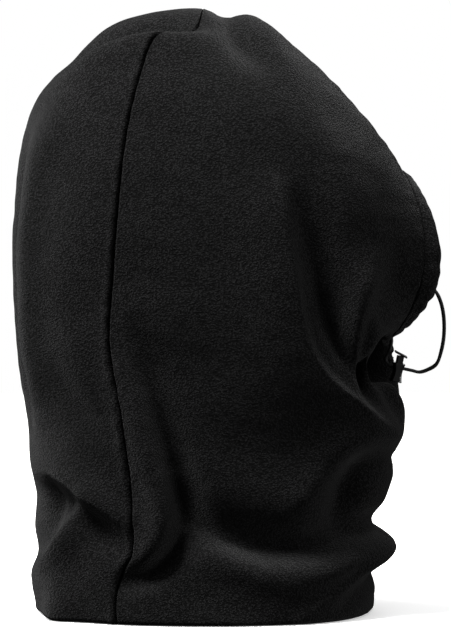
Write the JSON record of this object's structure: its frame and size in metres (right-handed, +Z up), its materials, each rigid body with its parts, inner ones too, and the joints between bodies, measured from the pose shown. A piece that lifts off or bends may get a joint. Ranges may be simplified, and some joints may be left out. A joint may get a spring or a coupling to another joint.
{
  "type": "balaclava",
  "caption": "Fleece balaclava hood with a rolled face opening tightened by an elastic drawcord and a push-button cord lock at the chin.",
  "frame": {"origin": "centre of the bottom of the box around the hood, on the surface its neck hem stands on", "axes": "+Z up, -Y the way the face opening looks, +X to the wearer's left"},
  "size_m": [0.184, 0.2802, 0.3883],
  "materials": {
    "fleece": "matte napped polar fleece",
    "thread": "spun polyester thread",
    "elastic": "braided elastic cord",
    "lock_plastic": "glossy moulded black plastic",
    "spring_steel": "bright spring wire"
  },
  "bodies": {
    "hood": {"back_panel": "fleece", "left_side_panel": "fleece", "right_side_panel": "fleece", "face_casing": "fleece", "neck_hem": "fleece", "casing_stitching": "thread", "hem_stitching": "thread", "back_seam_overlock": "thread", "crown_seam_overlock": "thread", "chin_seam_overlock": "thread", "drawcord": "elastic", "drawcord_loop": "elastic"},
    "cord_lock": {"cord_lock_body": "lock_plastic", "cord_lock_spring": "spring_steel"},
    "button": {"cord_lock_plunger": "lock_plastic"}
  },
  "joints": [
    {"name": "cord_lock_slide", "type": "slide", "parent": "hood", "child": "cord_lock", "axis": [0, -0.9781, -0.2079], "range_m": [0, 0.01]},
    {"name": "button_press", "type": "slide", "parent": "cord_lock", "child": "button", "axis": [0, 0.2079, -0.9781], "range_m": [0, 0.0035], "stiffness_N_per_m": 400, "springref_m": -0.002, "deforming": ["cord_lock_spring"]}
  ]
}
